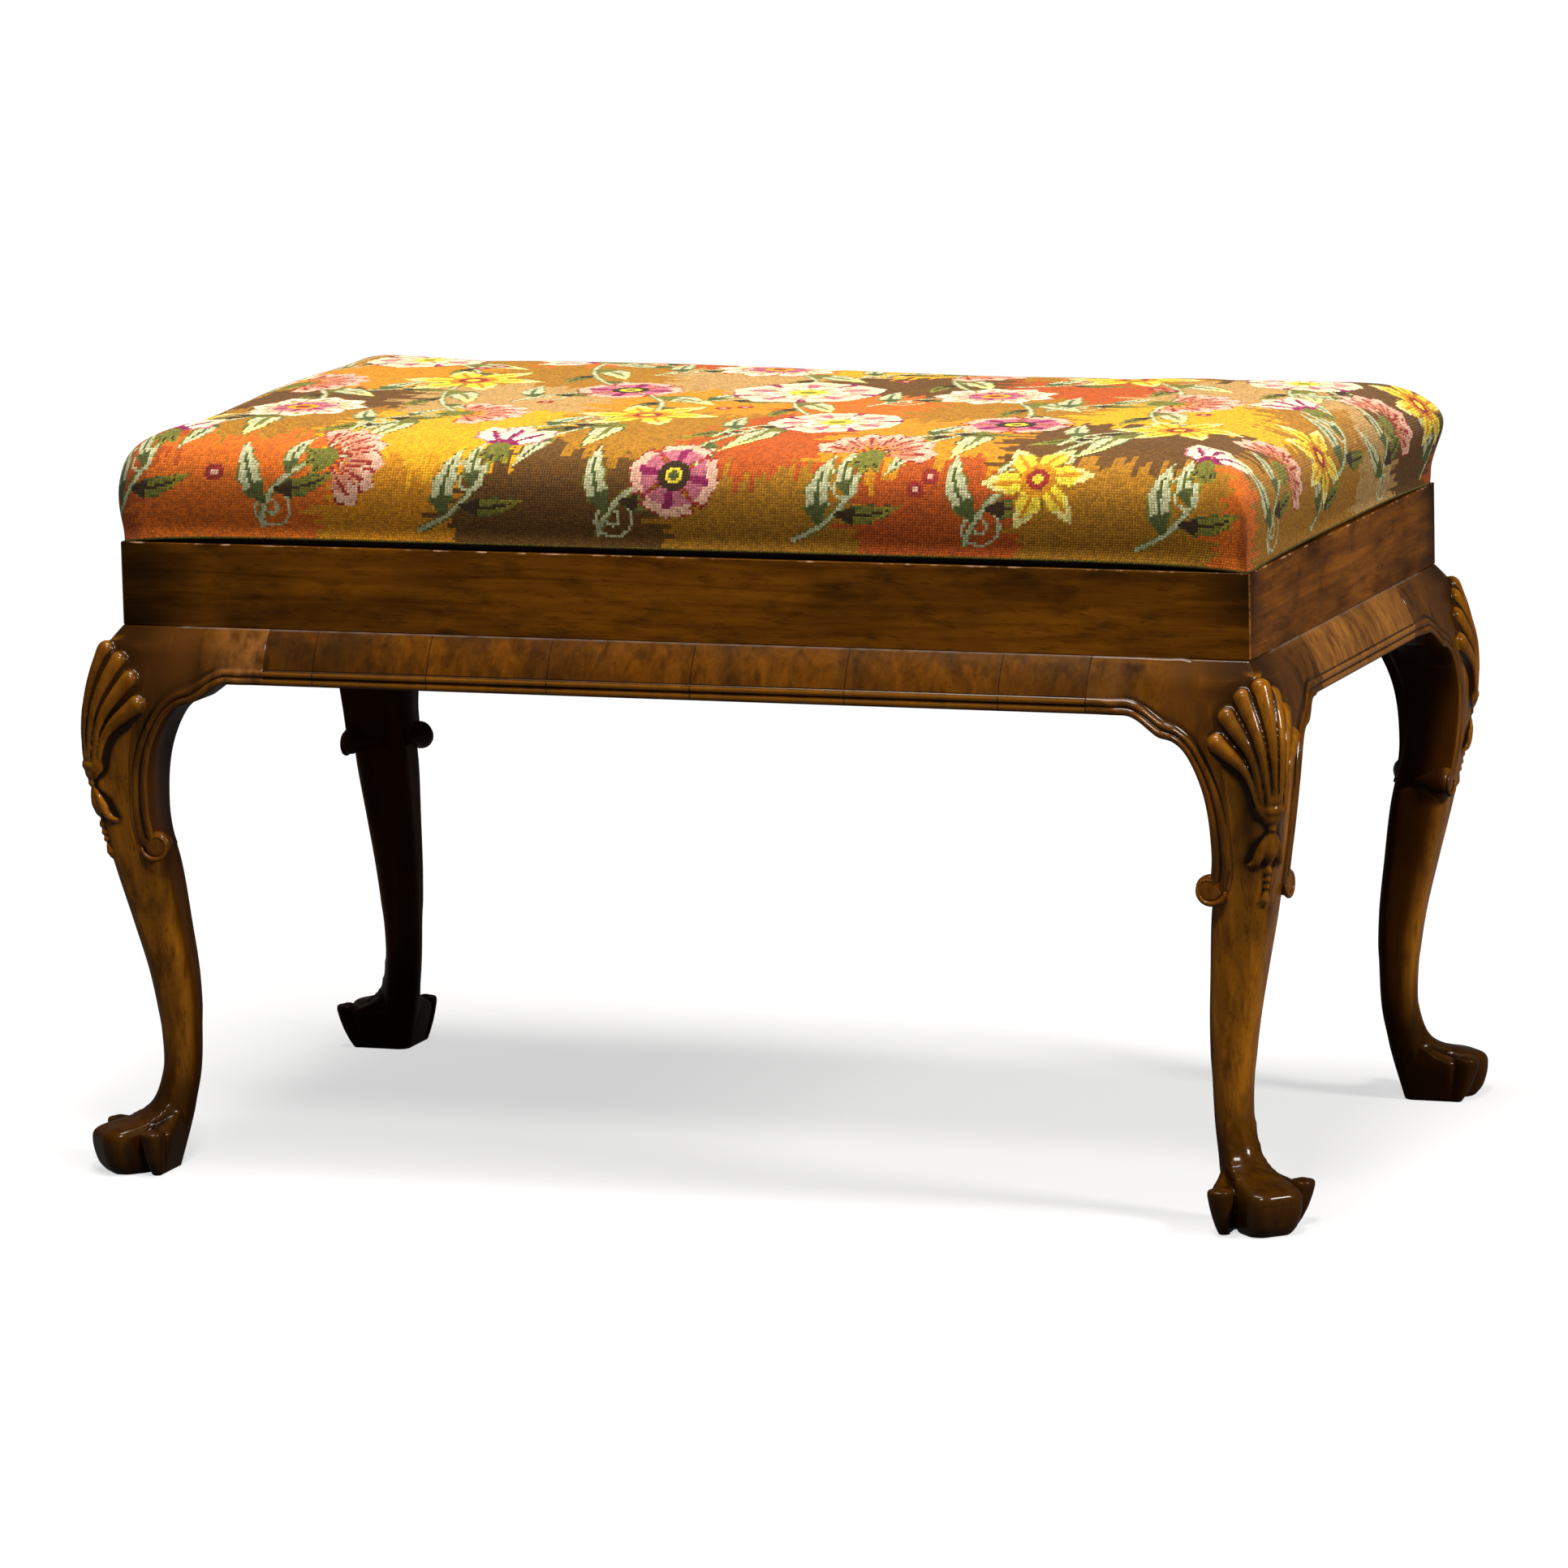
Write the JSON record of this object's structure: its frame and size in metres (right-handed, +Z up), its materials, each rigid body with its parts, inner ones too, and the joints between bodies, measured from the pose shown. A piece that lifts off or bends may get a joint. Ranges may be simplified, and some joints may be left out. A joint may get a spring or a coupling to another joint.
{
  "type": "duet stool",
  "caption": "Long cabriole-legged walnut stool with a hinged upholstered lid over a shallow storage box, carved knees and trifid feet.",
  "frame": {"origin": "on the floor under the middle of the stool", "axes": "+X along the length, -Y to the front, +Z up"},
  "size_m": [0.91, 0.536, 0.539],
  "materials": {
    "walnut": "French polished, dark in the hollows",
    "beech": "planed, unpolished",
    "pine": "planed, stained inside",
    "brass": "aged brass",
    "needlework": "wool tent stitch",
    "jute_webbing": "woven jute",
    "hessian": "open weave",
    "hair_stuffing": "loose hair",
    "lining_cotton": "plain weave",
    "tack_steel": "blued"
  },
  "bodies": {
    "stool": {"leg_front_left": "walnut", "leg_front_right": "walnut", "leg_back_left": "walnut", "leg_back_right": "walnut", "bracket_front_left_front": "walnut", "bracket_front_left_side": "walnut", "bracket_front_right_front": "walnut", "bracket_front_right_side": "walnut", "bracket_back_left_back": "walnut", "bracket_back_left_side": "walnut", "bracket_back_right_back": "walnut", "bracket_back_right_side": "walnut", "moulding_front": "walnut", "moulding_back": "walnut", "moulding_left": "walnut", "moulding_right": "walnut", "box_front": "walnut", "box_back": "walnut", "box_left": "walnut", "box_right": "walnut", "rail_front": "beech", "rail_back": "beech", "rail_left": "beech", "rail_right": "beech", "box_bottom": "pine", "hinge_left_box_leaf": "brass", "hinge_right_box_leaf": "brass", "hinge_left_pin": "brass", "hinge_right_pin": "brass", "hinge_screws_box": "brass"},
    "lid": {"lid_rail_front": "beech", "lid_rail_back": "beech", "lid_rail_left": "beech", "lid_rail_right": "beech", "hinge_left_lid_leaf": "brass", "hinge_right_lid_leaf": "brass", "hinge_screws_lid": "brass", "needlework_cover": "needlework", "webbing_long": "jute_webbing", "webbing_cross": "jute_webbing", "lid_hessian": "hessian", "lid_stuffing": "hair_stuffing", "lid_lining": "lining_cotton", "lining_tacks": "tack_steel"}
  },
  "joints": [
    {"name": "lid_hinge", "type": "hinge", "parent": "stool", "child": "lid", "pos_m": [0, 0.237, 0.45715], "axis": [-1, 0, 0], "range_deg": [0, 95]}
  ]
}
